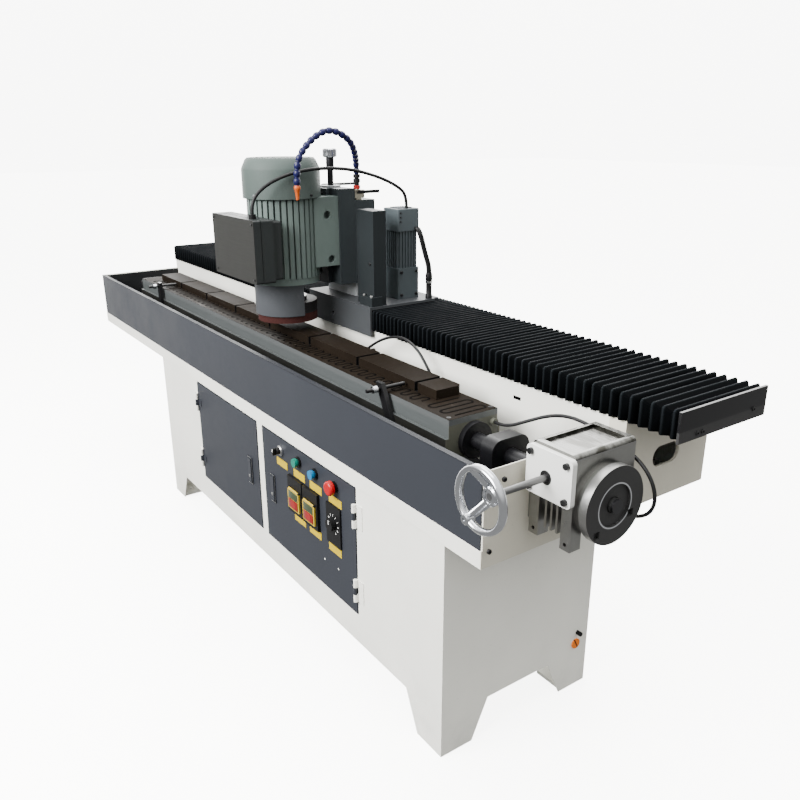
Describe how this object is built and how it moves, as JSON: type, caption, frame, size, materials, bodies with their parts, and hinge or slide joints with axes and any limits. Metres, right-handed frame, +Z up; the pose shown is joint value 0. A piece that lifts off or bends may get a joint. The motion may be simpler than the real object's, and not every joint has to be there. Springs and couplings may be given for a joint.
{
  "type": "knife grinding machine",
  "caption": "Straight knife grinder: cabinet with coolant trough and bed, a sliding carriage with a vertical grinding motor, and a tilting magnetic chuck.",
  "frame": {"origin": "on the floor, midway between the four anchor holes in the feet", "axes": "+X along the bed towards the handwheel gearbox, +Y from the operator to the back, +Z up"},
  "size_m": [2.857, 0.735, 1.4226],
  "materials": {
    "white_paint": "textured satin",
    "slate_paint": "satin",
    "dark_paint": "satin",
    "black_paint": "satin",
    "saddle_paint": "satin",
    "motor_paint": "satin",
    "hood_paint": "satin",
    "tank_paint": "satin",
    "cover_paint": "satin",
    "steel": "ground",
    "ground_steel": "ground",
    "black_steel": "blackened",
    "pole_metal": "ground, browned",
    "gearbox_metal": "polished",
    "valve_metal": "plated",
    "bronze": "machined",
    "chrome_plate": "polished",
    "bellows_cloth": "coated cloth",
    "cable_jacket": "smooth",
    "abrasive": "gritty",
    "box_plastic": "brushed lid",
    "hose_plastic": "smooth",
    "panel_plastic": "smooth",
    "black_plastic": "smooth",
    "green_plastic": "smooth",
    "blue_plastic": "smooth",
    "red_plastic": "smooth",
    "yellow_plastic": "smooth"
  },
  "bodies": {
    "base": {"cabinet_shell": "white_paint", "trough_pan": "white_paint", "front_fascia": "slate_paint", "bed_beam": "white_paint", "guide_rails": "steel", "feed_rack": "steel", "bellows_left": "bellows_cloth", "bellows_right": "bellows_cloth", "bellows_brackets": "black_paint", "chuck_pedestals": "black_paint", "gearbox_housing": "gearbox_metal", "gearbox_cover": "cover_paint", "output_flange": "black_paint", "gearbox_bearings": "steel", "cap_screws": "black_steel", "chuck_leads": "cable_jacket", "electrical_panel": "panel_plastic", "coolant_unit": "tank_paint", "door_hinges": "steel"},
    "carriage": {"saddle": "saddle_paint", "guide_blocks": "steel", "column": "dark_paint", "feed_drive_cover": "dark_paint", "drive_gearmotor": "dark_paint", "coolant_valve": "valve_metal", "coolant_hose": "hose_plastic", "carriage_conduits": "cable_jacket"},
    "pinion": {"drive_pinion": "steel"},
    "valve_lever": {"valve_lever": "black_paint"},
    "feed_screw": {"feed_screw": "chrome_plate"},
    "head": {"head_slide": "motor_paint", "motor_frame": "motor_paint", "fan_cowl": "motor_paint", "terminal_box": "box_plastic", "wheel_hood": "hood_paint", "motor_cable": "cable_jacket", "motor_bearings": "steel"},
    "spindle": {"rotor_shaft": "steel", "cup_wheel": "abrasive"},
    "handwheel": {"worm_shaft": "steel", "handwheel": "chrome_plate"},
    "chuck": {"chuck_body": "ground_steel", "pole_plate": "pole_metal", "worm_wheel": "bronze", "chuck_trunnions": "black_paint", "stop_arms": "black_steel"},
    "left_stop_rod": {"left_stop_rod": "black_steel"},
    "right_stop_rod": {"right_stop_rod": "black_steel"},
    "left_door": {"left_door": "slate_paint"},
    "control_door": {"control_door": "slate_paint", "control_fittings": "black_plastic"},
    "left_latch": {"left_latch": "black_plastic"},
    "control_latch": {"control_latch": "black_plastic"},
    "selector_knob": {"selector_knob": "black_plastic"},
    "green_button": {"green_button": "green_plastic"},
    "blue_button": {"blue_button": "blue_plastic"},
    "stop_button": {"stop_button": "red_plastic"},
    "first_switch_flap": {"first_switch_flap": "yellow_plastic"},
    "second_switch_flap": {"second_switch_flap": "yellow_plastic"},
    "speed_knob": {"speed_knob": "black_plastic"}
  },
  "joints": [
    {"name": "carriage_slide", "type": "slide", "parent": "base", "child": "carriage", "axis": [1, 0, 0], "range_m": [-1.15, 0.85], "deforming": ["bellows_left", "bellows_right"]},
    {"name": "pinion_spin", "type": "hinge", "parent": "carriage", "child": "pinion", "pos_m": [0.015, 0.268, 0.849], "axis": [0, 0, 1], "range_deg": [-2760, 2040]},
    {"name": "head_feed", "type": "slide", "parent": "carriage", "child": "head", "axis": [0, 0, 1], "range_m": [-0.022, 0.08], "deforming": ["motor_cable"]},
    {"name": "feed_screw_spin", "type": "hinge", "parent": "carriage", "child": "feed_screw", "pos_m": [-0.161, 0.115, 1.243], "axis": [0, 0, 1], "range_deg": [-5800, 1600]},
    {"name": "spindle_spin", "type": "hinge", "parent": "head", "child": "spindle", "pos_m": [-0.161, -0.057, 0.975], "axis": [0, 0, 1], "continuous": true},
    {"name": "chuck_tilt", "type": "hinge", "parent": "base", "child": "chuck", "pos_m": [0, -0.057, 0.73], "axis": [1, 0, 0], "range_deg": [0, 90], "deforming": ["chuck_leads"]},
    {"name": "handwheel_spin", "type": "hinge", "parent": "base", "child": "handwheel", "pos_m": [1.09, -0.057, 0.78], "axis": [0, 1, 0], "range_deg": [-10, 2720]},
    {"name": "left_stop_slide", "type": "slide", "parent": "chuck", "child": "left_stop_rod", "axis": [0, 1, 0], "range_m": [-0.01, 0.006]},
    {"name": "right_stop_slide", "type": "slide", "parent": "chuck", "child": "right_stop_rod", "axis": [0, 1, 0], "range_m": [-0.01, 0.006]},
    {"name": "left_door_swing", "type": "hinge", "parent": "base", "child": "left_door", "pos_m": [-0.5325, -0.253, 0.381], "axis": [0, 0, -1], "range_deg": [0, 110]},
    {"name": "control_door_swing", "type": "hinge", "parent": "base", "child": "control_door", "pos_m": [0.5375, -0.253, 0.381], "axis": [0, 0, 1], "range_deg": [0, 110]},
    {"name": "left_latch_lift", "type": "hinge", "parent": "left_door", "child": "left_latch", "pos_m": [-0.101, -0.2503, 0.342], "axis": [1, 0, 0], "range_deg": [0, 35], "stiffness_Nm_per_rad": 0.15, "springref_deg": -17.19},
    {"name": "control_latch_lift", "type": "hinge", "parent": "control_door", "child": "control_latch", "pos_m": [0.062, -0.2503, 0.342], "axis": [1, 0, 0], "range_deg": [0, 35], "stiffness_Nm_per_rad": 0.15, "springref_deg": -17.19},
    {"name": "selector_turn", "type": "hinge", "parent": "control_door", "child": "selector_knob", "pos_m": [0.131, -0.25, 0.53], "axis": [0, -1, 0], "range_deg": [-45, 45]},
    {"name": "green_press", "type": "slide", "parent": "control_door", "child": "green_button", "axis": [0, 1, 0], "range_m": [0, 0.004], "stiffness_N_per_m": 500, "springref_m": -0.001},
    {"name": "blue_press", "type": "slide", "parent": "control_door", "child": "blue_button", "axis": [0, 1, 0], "range_m": [0, 0.004], "stiffness_N_per_m": 500, "springref_m": -0.001},
    {"name": "stop_press", "type": "slide", "parent": "control_door", "child": "stop_button", "axis": [0, 1, 0], "range_m": [0, 0.005], "stiffness_N_per_m": 800, "springref_m": -0.001},
    {"name": "first_flap_lift", "type": "hinge", "parent": "control_door", "child": "first_switch_flap", "pos_m": [0.218, -0.259, 0.436], "axis": [-1, 0, 0], "range_deg": [0, 100]},
    {"name": "second_flap_lift", "type": "hinge", "parent": "control_door", "child": "second_switch_flap", "pos_m": [0.308, -0.259, 0.436], "axis": [-1, 0, 0], "range_deg": [0, 100]},
    {"name": "speed_turn", "type": "hinge", "parent": "control_door", "child": "speed_knob", "pos_m": [0.4295, -0.252, 0.42], "axis": [0, -1, 0], "range_deg": [-150, 150]},
    {"name": "valve_turn", "type": "hinge", "parent": "carriage", "child": "valve_lever", "pos_m": [-0.085, 0.165, 1.231], "axis": [1, 0, 0], "range_deg": [0, 90]}
  ],
  "couplings": [
    {"joint": "pinion_spin", "follows": "carriage_slide", "rad_per_m": 41.667},
    {"joint": "feed_screw_spin", "follows": "head_feed", "rad_per_m": -1256.6},
    {"joint": "handwheel_spin", "follows": "chuck_tilt", "ratio": 30}
  ]
}
